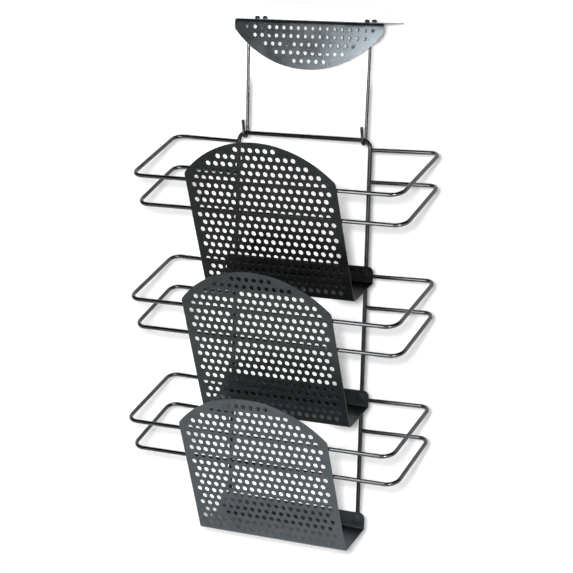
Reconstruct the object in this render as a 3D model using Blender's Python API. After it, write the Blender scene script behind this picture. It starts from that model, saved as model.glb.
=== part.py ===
"""Three-tier document pocket that hangs over the top of a partition.

Metres, +Z up. The origin lies on top of the partition, in the middle of the underside of the
saddle. X runs to the viewer's right along the partition, and the pockets face -Y.

A saddle sits on the partition and hooks behind it. A half-moon hanger plate in front of the
partition slides on the saddle, so that both close on partitions of several thicknesses, and four
screws clamp them. Two rods behind the plate end in open hooks. The crossbar of the file frame
lies in the hooks, and the frame carries three pairs of wire loops and three bent sheet pockets.
"""
import math

import bmesh
import bpy
from mathutils import Vector

# Gap kept between pieces that are welded together or rest on each other
SEAT_GAP = 0.0003

# Distance under which corners of one mesh are the same corner
MERGE_DISTANCE = 0.0001

# Partition that the hanger closes on, and how much thicker it may be
PARTITION_THICKNESS = 0.025
PARTITION_SPARE = 0.020

# Perforation of all sheets: staggered rows of round holes
HOLE_DIAMETER = 0.011
HOLE_PITCH = 0.0158
ROW_PITCH = 0.0157
HOLE_RIM = 0.0034
HOLE_SIDES = 6

# Saddle on top of the partition, with a half-moon skirt behind it
SADDLE_THICKNESS = 0.0012
SADDLE_WIDTH = 0.148
SADDLE_BEND_RADIUS = 0.0026
SKIRT_SIDE_HEIGHT = 0.0065
SKIRT_HEIGHT = 0.029
SKIRT_SHOULDER_RADIUS = 0.004

# Screws that clamp the hanger plate on the saddle
SCREW_HEAD_DIAMETER = 0.0055
SCREW_HEAD_HEIGHT = 0.0031
SCREW_HEAD_EDGE = 0.0012
SCREW_SHANK_DIAMETER = 0.003
SCREW_SIDE_INSET = 0.0085
SCREW_SPACING_Y = 0.017
SCREW_SETBACK = 0.0035
SCREW_SIDES = 12
SLOT_CLEARANCE = 0.00045

# Hanger plate: half-moon in front of the partition, with a flange folded back over its top
HANGER_THICKNESS = 0.001
HANGER_WIDTH = 0.177
HANGER_BEND_RADIUS = 0.0025
HALF_MOON_SIDE_HEIGHT = 0.010
HALF_MOON_HEIGHT = 0.0517
HALF_MOON_SHOULDER_RADIUS = 0.004
FLANGE_DEPTH = 0.0535
FLANGE_CORNER_RADIUS = 0.004

# Hanger rods: straight wires that end in open hooks, a little farther apart at their tops
ROD_DIAMETER = 0.0032
ROD_INSET = 0.0077
ROD_TOP_DROP = 0.0045
ROD_SPREAD = 0.0018
HOOK_TIP_HEIGHT = 0.014
HOOK_FLARE = 0.0025
HOOK_KNEE_SHARE = 0.35
HOOK_FLARE_RADIUS = 0.012

# File frame: one wire bent to an inverted U
FRAME_DIAMETER = 0.0045
FRAME_SPACING = 0.1574
FRAME_BEND_RADIUS = 0.009
FRAME_FOOT_HEIGHT = 0.0025
CROSSBAR_DROP = 0.1195

# Wire loops, an upper and a lower one for each pocket
TIERS = 3
TIER_PITCH = 0.13265
FIRST_LOOP_DROP = 0.0097
LOOP_PAIR_DROP = 0.0337
LOOP_DIAMETER = 0.0042
LOOP_WIDTH = 0.317
LOOP_TAPER = 0.0008
LOOP_WELD_DIP = 0.0015
LOOP_REACH = 0.0909
LOOP_FALL = 0.0359
LOOP_BACK_RADIUS = 0.010
LOOP_FRONT_RADIUS = 0.013

# Pockets: back lip, shelf and leaning front panel, bent from one sheet
POCKET_THICKNESS = 0.001
POCKET_WIDTH = 0.177
POCKET_BEND_RADIUS = 0.0025
PANEL_LEAN = math.radians(22.3)
PANEL_WIRE_SPACING = 0.034
PANEL_FOOT_DROP = 0.1265
PANEL_SIDE_HEIGHT = 0.1352
PANEL_HEIGHT = 0.1755
PANEL_SHOULDER_RADIUS = 0.006
LIP_CORNER_DROP = 0.1395
LIP_HEIGHT = 0.0172
LIP_CORNER_RADIUS = 0.006

# Steps of round stretches
WIRE_BEND_STEPS = 6
HOOK_STEPS = 12
SHEET_BEND_STEPS = 4
ARCH_STEPS = 20
CORNER_STEPS = 4
WIRE_BEVEL_RESOLUTION = 2
SHARP_ANGLE = math.radians(35)

# Places that follow from the sizes above, seen from the origin
ROD_Y = -PARTITION_THICKNESS / 2 - ROD_DIAMETER / 2
PLATE_Y = ROD_Y - ROD_DIAMETER / 2 - SEAT_GAP - HANGER_THICKNESS / 2
FLANGE_Z = SADDLE_THICKNESS + SEAT_GAP + HANGER_THICKNESS / 2
FLANGE_TOP = FLANGE_Z + HANGER_THICKNESS / 2
PLATE_FRONT = PLATE_Y - HANGER_THICKNESS / 2
SADDLE_FRONT = -PARTITION_THICKNESS / 2 + SEAT_GAP
SADDLE_Z = SADDLE_THICKNESS / 2
SKIRT_Y = PARTITION_THICKNESS / 2 + SADDLE_THICKNESS / 2
SCREW_X = SADDLE_WIDTH / 2 - SCREW_SIDE_INSET
SCREW_FRONT_Y = SADDLE_FRONT + SCREW_SETBACK
ROD_X = FRAME_SPACING / 2 - ROD_INSET
HOOK_RADIUS = FRAME_DIAMETER / 2 + SEAT_GAP + ROD_DIAMETER / 2
CROSSBAR = Vector((0, ROD_Y - HOOK_RADIUS, -CROSSBAR_DROP))

# Directions in the file: up a panel, and out of its front
PANEL_UP = Vector((0, -math.sin(PANEL_LEAN), math.cos(PANEL_LEAN)))
PANEL_OUT = Vector((0, -math.cos(PANEL_LEAN), -math.sin(PANEL_LEAN)))
RIGHT = Vector((1, 0, 0))
UP = Vector((0, 0, 1))
BACK = Vector((0, 1, 0))


def clear_objects():
    """Remove every object of the open file."""
    for old in list(bpy.data.objects):
        bpy.data.objects.remove(old, do_unlink=True)


def linear_colour(hex_colour):
    """Linear RGBA of an sRGB colour written as six hex digits."""
    shares = [int(hex_colour[i:i + 2], 16) / 255 for i in (0, 2, 4)]
    return [c / 12.92 if c <= 0.04045 else ((c + 0.055) / 1.055) ** 2.4 for c in shares] + [1]


def finish(piece, hex_colour, roughness, metallic):
    """Give a piece its own Principled material."""
    material = bpy.data.materials.new(piece.name + "_finish")
    material.use_nodes = True
    shader = material.node_tree.nodes["Principled BSDF"]
    shader.inputs["Base Color"].default_value = linear_colour(hex_colour)
    shader.inputs["Roughness"].default_value = roughness
    shader.inputs["Metallic"].default_value = metallic
    piece.data.materials.clear()
    piece.data.materials.append(material)


def add_empty(name, place, parent=None):
    """Add an empty that stands on a joint's axis and carries the pieces that move with it."""
    empty = bpy.data.objects.new(name, None)
    empty.location = place
    empty.parent = parent
    bpy.context.collection.objects.link(empty)
    return empty


def add_piece(name, mesh, parent=None):
    """Add a mesh as a named piece, smooth but for its sharp edges."""
    mesh.shade_smooth()
    mesh.set_sharp_from_angle(angle=SHARP_ANGLE)
    piece = bpy.data.objects.new(name, mesh)
    piece.parent = parent
    bpy.context.collection.objects.link(piece)
    return piece


def rounded_corner(before, corner, after, radius, steps):
    """Points of the arc that rounds a corner, from one tangent point to the other."""
    start = (before - corner).normalized()
    end = (after - corner).normalized()
    half = start.angle(end) / 2
    middle = corner + (start + end).normalized() * (radius / math.sin(half))
    first = corner + start * (radius / math.tan(half)) - middle
    last = corner + end * (radius / math.tan(half)) - middle
    turn = first.rotation_difference(last)
    axis, angle = turn.to_axis_angle()
    points = []
    for step in range(steps + 1):
        arm = first.copy()
        arm.rotate(turn.__class__(axis, angle * step / steps))
        points.append(middle + arm)
    return points


def rounded_path(corners, radii, steps):
    """An open path through corner points, with each inner corner rounded to its radius."""
    path = [corners[0]]
    for i, radius in enumerate(radii, start=1):
        path += rounded_corner(corners[i - 1], corners[i], corners[i + 1], radius, steps)
    return path + [corners[-1]]


def add_wire(name, path, diameter, parent):
    """Add a round wire along a path, with flat ends."""
    curve = bpy.data.curves.new(name, "CURVE")
    curve.dimensions = "3D"
    curve.bevel_depth = diameter / 2
    curve.bevel_resolution = WIRE_BEVEL_RESOLUTION
    curve.use_fill_caps = True
    spline = curve.splines.new("POLY")
    spline.points.add(len(path) - 1)
    for point, place in zip(spline.points, path):
        point.co = (*place, 1)
    guide = bpy.data.objects.new(name + "_path", curve)
    mesh = bpy.data.meshes.new_from_object(guide)
    bpy.data.objects.remove(guide)
    return add_piece(name, mesh, parent)


def ring(x, t, radius, sides):
    """Corner points of a round hole in a flat."""
    turns = [2 * math.pi * side / sides for side in range(sides)]
    return [(x + radius * math.sin(a), t + radius * math.cos(a)) for a in turns]


def arc(x, t, radius, start, end, steps):
    """Points along an arc in a flat, between two angles from the x direction."""
    angles = [start + (end - start) * step / steps for step in range(steps + 1)]
    return [(x + radius * math.cos(a), t + radius * math.sin(a)) for a in angles]


class Arch:
    """A flat with straight sides and a round arch on top, set by its sizes from its foot at t = 0."""

    def __init__(self, width, side_height, height, shoulder_radius):
        rise = height - side_height
        self.half_width = width / 2
        self.height = height
        self.radius = (self.half_width ** 2 + rise ** 2) / (2 * rise)
        self.centre = height - self.radius
        self.shoulder_radius = shoulder_radius

    def outline(self, foot):
        """Outline from the foot line up, with the shoulders between sides and arch rounded."""
        across = self.half_width - self.shoulder_radius
        up = math.sqrt((self.radius - self.shoulder_radius) ** 2 - across ** 2)
        lean = math.atan2(up, across)
        shoulder_t = self.centre + up
        right = arc(across, shoulder_t, self.shoulder_radius, 0, lean, CORNER_STEPS)
        top = arc(0, self.centre, self.radius, lean, math.pi - lean, ARCH_STEPS)
        left = arc(-across, shoulder_t, self.shoulder_radius, math.pi - lean, math.pi, CORNER_STEPS)
        return [(-self.half_width, foot), (self.half_width, foot)] + right + top[1:-1] + left

    def holes(self, foot):
        """Staggered rows of holes, counted from the foot line, that keep the rim to every edge."""
        margin = HOLE_DIAMETER / 2 + HOLE_RIM
        columns = int(self.half_width / HOLE_PITCH) + 1
        rows = int((self.height - foot) / ROW_PITCH) + 1
        holes = []
        for row in range(rows):
            t = foot + margin + row * ROW_PITCH
            for column in range(-columns, columns + 1):
                x = (column + row % 2 / 2) * HOLE_PITCH
                in_sides = abs(x) + margin <= self.half_width
                in_arch = math.hypot(x, t - self.centre) + margin <= self.radius
                if in_sides and (in_arch or t < self.centre):
                    holes.append(ring(x, t, HOLE_DIAMETER / 2, HOLE_SIDES))
        return holes


class Sheet:
    """A bent sheet, laid out as flats and bends of its middle surface and then made thick."""

    def __init__(self):
        self.bm = bmesh.new()

    def flat(self, outline, holes, origin, along):
        """Add a flat: outline and holes are drawn across X and along a direction."""
        edges = []
        for loop in [outline] + holes:
            verts = [self.bm.verts.new(origin + RIGHT * x + along * t) for x, t in loop]
            edges += [self.bm.edges.new(pair) for pair in zip(verts, verts[1:] + verts[:1])]
        bmesh.ops.triangle_fill(self.bm, edges=edges, use_beauty=True)

    def bend(self, width, points):
        """Add a bend or a plain strip of full width through the points of its side view."""
        left, right = [
            [self.bm.verts.new(point + RIGHT * side) for point in points]
            for side in (-width / 2, width / 2)
        ]
        for i in range(len(points) - 1):
            self.bm.faces.new((left[i], right[i], right[i + 1], left[i + 1]))

    def add(self, name, thickness, parent=None):
        """Join the flats and bends, and add the piece with its thickness as a modifier."""
        bmesh.ops.remove_doubles(self.bm, verts=self.bm.verts, dist=MERGE_DISTANCE)
        bmesh.ops.recalc_face_normals(self.bm, faces=self.bm.faces)
        mesh = bpy.data.meshes.new(name)
        self.bm.to_mesh(mesh)
        self.bm.free()
        piece = add_piece(name, mesh, parent)
        solidify = piece.modifiers.new("thickness", "SOLIDIFY")
        solidify.thickness = thickness
        solidify.offset = 0
        solidify.use_even_offset = True
        solidify.use_quality_normals = True
        return piece


def slot(x, front, back, radius):
    """Outline of a slot with round ends that runs from front to back."""
    far = arc(x, back - radius, radius, 0, math.pi, SCREW_SIDES // 2)
    near = arc(x, front + radius, radius, math.pi, 2 * math.pi, SCREW_SIDES // 2)
    return far + near


def screw_places():
    """Side, row and place of each clamp screw's axis."""
    for side, x in (("left", -SCREW_X), ("right", SCREW_X)):
        for row, y in (("front", SCREW_FRONT_Y), ("rear", SCREW_FRONT_Y + SCREW_SPACING_Y)):
            yield side, row, Vector((x, y, 0))


def make_rear_saddle():
    """Angle that sits on the partition: a top leg with four screw holes and a half-moon skirt."""
    top = Vector((0, SKIRT_Y, SADDLE_Z))
    bend = rounded_corner(top - BACK, top, top - UP, SADDLE_BEND_RADIUS, SHEET_BEND_STEPS)
    skirt = Arch(SADDLE_WIDTH, SKIRT_SIDE_HEIGHT, SKIRT_HEIGHT, SKIRT_SHOULDER_RADIUS)
    skirt_foot = (top - bend[-1]).length
    leg_front = SADDLE_FRONT
    leg_back = bend[0].y
    half = SADDLE_WIDTH / 2
    leg = [(-half, leg_front), (half, leg_front), (half, leg_back), (-half, leg_back)]
    hole_radius = SCREW_SHANK_DIAMETER / 2 + SEAT_GAP
    holes = [ring(place.x, place.y, hole_radius, SCREW_SIDES) for _, _, place in screw_places()]
    sheet = Sheet()
    sheet.flat(leg, holes, UP * SADDLE_Z, BACK)
    sheet.bend(SADDLE_WIDTH, bend)
    sheet.flat(skirt.outline(skirt_foot), skirt.holes(skirt_foot), top, -UP)
    piece = sheet.add("rear_saddle", SADDLE_THICKNESS)
    finish(piece, "2e3134", 0.45, 0.6)


def make_clamp_screws():
    """Low round-headed screws that stand in the saddle and reach through the flange's slots."""
    head_foot = FLANGE_TOP + SEAT_GAP
    shank = SCREW_SHANK_DIAMETER / 2
    head = SCREW_HEAD_DIAMETER / 2
    crown = arc(0, 0, 1, 0, math.pi / 2, CORNER_STEPS)
    dome = SCREW_HEAD_HEIGHT - SCREW_HEAD_EDGE
    edge = head_foot + SCREW_HEAD_EDGE
    profile = [(0, SEAT_GAP), (shank, SEAT_GAP), (shank, head_foot), (head, head_foot)]
    profile += [(head * across, edge + dome * up) for across, up in crown[:-1]]
    profile.append((0, edge + dome))
    for side, row, place in screw_places():
        bm = bmesh.new()
        verts = [bm.verts.new((r, 0, z)) for r, z in profile]
        edges = [bm.edges.new(pair) for pair in zip(verts, verts[1:])]
        bmesh.ops.spin(
            bm, geom=verts + edges, cent=(0, 0, 0), axis=UP, angle=2 * math.pi,
            steps=SCREW_SIDES, use_merge=True)
        bmesh.ops.remove_doubles(bm, verts=bm.verts, dist=MERGE_DISTANCE)
        bmesh.ops.recalc_face_normals(bm, faces=bm.faces)
        mesh = bpy.data.meshes.new(f"clamp_screw_{side}_{row}")
        bm.to_mesh(mesh)
        bm.free()
        piece = add_piece(mesh.name, mesh)
        piece.location = place
        finish(piece, "1f2022", 0.35, 0.8)


def make_hanger_plate(parent):
    """Half-moon plate in front of the partition, with a slotted flange folded back over its top."""
    top = Vector((0, PLATE_Y, FLANGE_Z))
    bend = rounded_corner(top - UP, top, top + BACK, HANGER_BEND_RADIUS, SHEET_BEND_STEPS)
    moon = Arch(
        HANGER_WIDTH, HALF_MOON_SIDE_HEIGHT, HALF_MOON_HEIGHT - HANGER_THICKNESS / 2,
        HALF_MOON_SHOULDER_RADIUS)
    moon_foot = (top - bend[0]).length
    flange_front = bend[-1].y
    flange_back = PLATE_FRONT + FLANGE_DEPTH
    half = HANGER_WIDTH / 2
    inner = half - FLANGE_CORNER_RADIUS
    round_y = flange_back - FLANGE_CORNER_RADIUS
    flange = [(-half, flange_front), (half, flange_front)]
    flange += arc(inner, round_y, FLANGE_CORNER_RADIUS, 0, math.pi / 2, CORNER_STEPS)
    flange += arc(-inner, round_y, FLANGE_CORNER_RADIUS, math.pi / 2, math.pi, CORNER_STEPS)
    slot_radius = SCREW_SHANK_DIAMETER / 2 + SLOT_CLEARANCE
    slot_front = SCREW_FRONT_Y - slot_radius
    slot_back = SCREW_FRONT_Y + SCREW_SPACING_Y + PARTITION_SPARE + slot_radius
    slots = [
        slot(x, slot_front, slot_back, slot_radius)
        for x in (-SCREW_X, SCREW_X)
    ]
    sheet = Sheet()
    sheet.flat(moon.outline(moon_foot), moon.holes(moon_foot), top, -UP)
    sheet.bend(HANGER_WIDTH, bend)
    sheet.flat(flange, slots, UP * FLANGE_Z, BACK)
    piece = sheet.add("hanger_plate", HANGER_THICKNESS, parent)
    finish(piece, "6b7077", 0.42, 0.65)


def make_hanger_rods(parent):
    """Straight wires behind the half-moon plate, each ending in an open hook under the crossbar."""
    top = FLANGE_TOP - ROD_TOP_DROP
    hook = [
        CROSSBAR + BACK * HOOK_RADIUS * math.cos(a) - UP * HOOK_RADIUS * math.sin(a)
        for a in (math.pi * step / HOOK_STEPS for step in range(HOOK_STEPS + 1))
    ]
    tip = hook[-1] + UP * HOOK_TIP_HEIGHT - BACK * HOOK_FLARE
    knee = hook[-1] + UP * HOOK_TIP_HEIGHT * HOOK_KNEE_SHARE
    flare = rounded_corner(hook[-1], knee, tip, HOOK_FLARE_RADIUS, CORNER_STEPS)
    for side, out in (("left", -RIGHT), ("right", RIGHT)):
        path = [out * ROD_SPREAD + Vector((0, ROD_Y, top))] + hook + flare + [tip]
        rod = add_wire(
            f"hanger_rod_{side}", [point + out * ROD_X for point in path], ROD_DIAMETER, parent)
        finish(rod, "3a3c3f", 0.35, 0.85)


def upper_loop_z(tier):
    """Height of an upper loop's back ends, below the crossbar."""
    return -FIRST_LOOP_DROP - tier * TIER_PITCH


def panel_wire(tier):
    """Middle of an upper loop's front wire, where the pocket's panel is welded on."""
    return Vector((0, -LOOP_REACH, upper_loop_z(tier) - LOOP_FALL))


def make_frame_wire(parent):
    """Inverted U that the loops and pockets are welded to."""
    half = FRAME_SPACING / 2
    foot = upper_loop_z(TIERS - 1) - LIP_CORNER_DROP + FRAME_FOOT_HEIGHT
    corners = [
        Vector((-half, 0, foot)), Vector((-half, 0, 0)), Vector((half, 0, 0)), Vector((half, 0, foot))
    ]
    path = rounded_path(corners, [FRAME_BEND_RADIUS] * 2, WIRE_BEND_STEPS)
    finish(add_wire("frame_wire", path, FRAME_DIAMETER, parent), "232426", 0.35, 0.8)


def loop_path(back_z, front):
    """Path of a loop from one side of the frame round the front to the other side."""
    weld = FRAME_SPACING / 2 + FRAME_DIAMETER / 2 + SEAT_GAP
    half = LOOP_WIDTH / 2
    corners = [
        Vector((weld, 0, back_z)),
        Vector((half, 0, back_z + LOOP_WELD_DIP)),
        front + RIGHT * (half - LOOP_TAPER),
    ]
    corners += [Vector((-corner.x, corner.y, corner.z)) for corner in reversed(corners)]
    radii = [LOOP_BACK_RADIUS, LOOP_FRONT_RADIUS, LOOP_FRONT_RADIUS, LOOP_BACK_RADIUS]
    return rounded_path(corners, radii, WIRE_BEND_STEPS)


def make_loops(tier, parent):
    """Upper and lower loop of one tier."""
    upper_z = upper_loop_z(tier)
    front = panel_wire(tier)
    upper = add_wire(f"upper_loop_{tier + 1}", loop_path(upper_z, front), LOOP_DIAMETER, parent)
    lower_front = front - PANEL_UP * PANEL_WIRE_SPACING
    lower_path = loop_path(upper_z - LOOP_PAIR_DROP, lower_front)
    lower = add_wire(f"lower_loop_{tier + 1}", lower_path, LOOP_DIAMETER, parent)
    for loop in (upper, lower):
        finish(loop, "4a4d51", 0.28, 0.9)


def lip_outline(foot):
    """Outline of a pocket's back lip, with rounded upper corners."""
    half = POCKET_WIDTH / 2
    inner = half - LIP_CORNER_RADIUS
    round_t = LIP_HEIGHT - LIP_CORNER_RADIUS
    right = arc(inner, round_t, LIP_CORNER_RADIUS, 0, math.pi / 2, CORNER_STEPS)
    left = arc(-inner, round_t, LIP_CORNER_RADIUS, math.pi / 2, math.pi, CORNER_STEPS)
    return [(-half, foot), (half, foot)] + right + left


def make_pocket(tier, parent, hex_colour):
    """Pocket of one tier: back lip on the frame, shelf, and punched panel on the loops."""
    lip_y = -FRAME_DIAMETER / 2 - SEAT_GAP - POCKET_THICKNESS / 2
    lip_corner = Vector((0, lip_y, upper_loop_z(tier) - LIP_CORNER_DROP))
    off_wire = LOOP_DIAMETER / 2 + SEAT_GAP + POCKET_THICKNESS / 2
    panel_corner = panel_wire(tier) + PANEL_OUT * off_wire - PANEL_UP * PANEL_FOOT_DROP
    lip_bend = rounded_corner(
        lip_corner + UP, lip_corner, panel_corner, POCKET_BEND_RADIUS, SHEET_BEND_STEPS)
    panel_bend = rounded_corner(
        lip_corner, panel_corner, panel_corner + PANEL_UP, POCKET_BEND_RADIUS, SHEET_BEND_STEPS)
    panel = Arch(POCKET_WIDTH, PANEL_SIDE_HEIGHT, PANEL_HEIGHT, PANEL_SHOULDER_RADIUS)
    lip_foot = (lip_bend[0] - lip_corner).length
    panel_foot = (panel_bend[-1] - panel_corner).length
    sheet = Sheet()
    sheet.flat(lip_outline(lip_foot), [], lip_corner, UP)
    sheet.bend(POCKET_WIDTH, lip_bend + panel_bend)
    sheet.flat(panel.outline(panel_foot), panel.holes(panel_foot), panel_corner, PANEL_UP)
    piece = sheet.add(f"pocket_{tier + 1}", POCKET_THICKNESS, parent)
    finish(piece, hex_colour, 0.4, 0.55)


def main():
    """Build the whole file with its hanger."""
    clear_objects()
    make_rear_saddle()
    make_clamp_screws()
    slide = add_empty("hanger_slide", (0, 0, 0))
    make_hanger_plate(slide)
    make_hanger_rods(slide)
    swing = add_empty("file_swing", CROSSBAR, slide)
    make_frame_wire(swing)
    for tier, hex_colour in zip(range(TIERS), ("26282a", "3b3f43", "565b61")):
        make_loops(tier, swing)
        make_pocket(tier, swing, hex_colour)


main()
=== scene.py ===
"""Looks of a three-tier document pocket that hangs over the top of a partition.

Metres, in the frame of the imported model: the origin lies on top of the partition, X runs to the
viewer's right, the pockets face -Y and Z is up. Every sheet is made again with its real, fine
perforation, and every wire round, with its welds.
"""

import logging
import math
from dataclasses import dataclass
from enum import Enum

import bmesh
import bpy
from mathutils import Matrix, Vector

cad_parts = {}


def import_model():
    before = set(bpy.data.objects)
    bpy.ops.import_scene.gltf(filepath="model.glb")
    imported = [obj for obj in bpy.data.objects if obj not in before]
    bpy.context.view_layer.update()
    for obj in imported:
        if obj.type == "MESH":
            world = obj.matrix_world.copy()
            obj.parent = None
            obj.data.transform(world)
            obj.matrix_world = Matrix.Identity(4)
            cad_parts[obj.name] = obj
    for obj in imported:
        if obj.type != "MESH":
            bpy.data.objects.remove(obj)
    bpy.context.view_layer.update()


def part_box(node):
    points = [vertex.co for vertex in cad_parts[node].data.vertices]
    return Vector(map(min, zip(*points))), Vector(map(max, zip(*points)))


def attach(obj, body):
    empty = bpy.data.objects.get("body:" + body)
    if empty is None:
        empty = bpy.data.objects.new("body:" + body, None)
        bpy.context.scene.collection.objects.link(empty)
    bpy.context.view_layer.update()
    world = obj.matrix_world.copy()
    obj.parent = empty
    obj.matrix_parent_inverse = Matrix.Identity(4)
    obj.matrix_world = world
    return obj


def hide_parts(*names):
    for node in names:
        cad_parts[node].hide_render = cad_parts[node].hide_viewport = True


LOG = logging.getLogger("document_pocket")

# Directions in the model's frame
RIGHT = Vector((1, 0, 0))
BACK = Vector((0, 1, 0))
UP = Vector((0, 0, 1))

# Turn of a copy that stands level
LEVEL = Vector((0, 0, 0))

# Distance under which corners of one mesh are the same corner
MERGE_DISTANCE = 0.00005

# Angles over which an edge stays sharp, and over which it is broken a little
SHARP_ANGLE = math.radians(38)
BROKEN_ANGLE = math.radians(50)

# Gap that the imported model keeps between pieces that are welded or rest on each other
SEAT_GAP = 0.0003

# Steps along a rounded corner, along half a hole and along the bend of a wire
CORNER_STEPS = 8
HALF_HOLE_STEPS = 12
WIRE_BEND_STEPS = 14

# Faces round a wire, round a turned screw, and round and along a weld bead
WIRE_SIDES = 20
SCREW_SIDES = 32
BEAD_SIDES, BEAD_RINGS = 14, 9

# Share of a wire's diameter that its broken ends take
WIRE_END_SHARE = 1 / 8

# Sockets of a Mix node that is set to colours
MIX_FACTOR, MIX_FIRST, MIX_SECOND, MIX_RESULT = 0, 6, 7, 2

# Nearly all values of a noise texture lie between these
NOISE_LOW, NOISE_HIGH = 0.3, 0.7

# Colours of the studio
WHITE = "ffffff"
WHITE_PAPER = "f2f2f2"


class Side(Enum):
    """Left or right of the middle, as the viewer sees it."""

    LEFT = -1
    RIGHT = 1


def linear(hex_colour: str) -> tuple[float, float, float, float]:
    """Turn an sRGB colour to linear.

    Args:
        hex_colour: Six hex digits.

    Returns:
        Linear red, green and blue, and an alpha of 1.
    """
    shares = [int(hex_colour[i:i + 2], 16) / 255 for i in (0, 2, 4)]
    red, green, blue = [
        c / 12.92 if c <= 0.04045 else ((c + 0.055) / 1.055) ** 2.4 for c in shares
    ]
    return red, green, blue, 1.0


def add_node(
    tree: bpy.types.NodeTree, kind: str, links: dict | None = None, **settings: object
) -> bpy.types.Node:
    """Add a node with its settings and links.

    Args:
        tree: Tree that gets the node.
        kind: Type name of the node.
        links: For an input, by name or number, an output socket, a list of them or a plain value.
        settings: Properties of the node.

    Returns:
        The new node.
    """
    node = tree.nodes.new(kind)
    for name, value in settings.items():
        setattr(node, name, value)
    for name, source in (links or {}).items():
        sources = source if isinstance(source, list) else [source]
        for one in sources:
            if isinstance(one, bpy.types.NodeSocket):
                tree.links.new(one, node.inputs[name])
            else:
                node.inputs[name].default_value = one
    return node


def start_tree(name: str, inputs: dict[str, str]) -> tuple[bpy.types.NodeTree, bpy.types.Node]:
    """Start a Geometry Nodes tree with named inputs.

    Args:
        name: Name of the tree.
        inputs: Socket type of each input after the geometry, by its name.

    Returns:
        The tree and its Group Input node.
    """
    tree = bpy.data.node_groups.new(name, "GeometryNodeTree")
    sockets = {"Geometry": "NodeSocketGeometry", **inputs, "Finish": "NodeSocketMaterial"}
    for socket, kind in sockets.items():
        tree.interface.new_socket(socket, in_out="INPUT", socket_type=kind)
    tree.interface.new_socket("Geometry", in_out="OUTPUT", socket_type="NodeSocketGeometry")
    return tree, add_node(tree, "NodeGroupInput")


def end_tree(
    tree: bpy.types.NodeTree, start: bpy.types.Node, geometry: bpy.types.NodeSocket
) -> bpy.types.NodeTree:
    """End a tree: plain geometry with its finish.

    Args:
        tree: Tree to end.
        start: Its Group Input node.
        geometry: Socket with the finished geometry.

    Returns:
        The same tree.
    """
    real = add_node(tree, "GeometryNodeRealizeInstances", {"Geometry": geometry})
    coated = add_node(
        tree, "GeometryNodeSetMaterial",
        {"Geometry": real.outputs[0], "Material": start.outputs["Finish"]})
    add_node(tree, "NodeGroupOutput", {"Geometry": coated.outputs[0]})
    return tree


def wire_tree() -> bpy.types.NodeTree:
    """Build the tree that turns a path of straight runs into a bent round wire.

    Returns:
        The tree. Its geometry is the path, whose attribute bend_radius rounds each corner.
    """
    tree, start = start_tree("bent_wire", {
        "Diameter": "NodeSocketFloat", "Bend Steps": "NodeSocketInt", "Sides": "NodeSocketInt"})
    bend = add_node(
        tree, "GeometryNodeInputNamedAttribute", {"Name": "bend_radius"}, data_type="FLOAT")
    path = add_node(tree, "GeometryNodeMeshToCurve", {"Mesh": start.outputs["Geometry"]})
    bent = add_node(
        tree, "GeometryNodeFilletCurve",
        {"Curve": path.outputs[0], "Count": start.outputs["Bend Steps"], "Radius": bend.outputs[0]},
        mode="POLY")
    radius = add_node(
        tree, "ShaderNodeMath", {0: start.outputs["Diameter"], 1: 2.0}, operation="DIVIDE")
    section = add_node(
        tree, "GeometryNodeCurvePrimitiveCircle",
        {"Resolution": start.outputs["Sides"], "Radius": radius.outputs[0]}, mode="RADIUS")
    wire = add_node(
        tree, "GeometryNodeCurveToMesh",
        {"Curve": bent.outputs[0], "Profile Curve": section.outputs[0], "Fill Caps": True})
    return end_tree(tree, start, wire.outputs[0])


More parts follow.
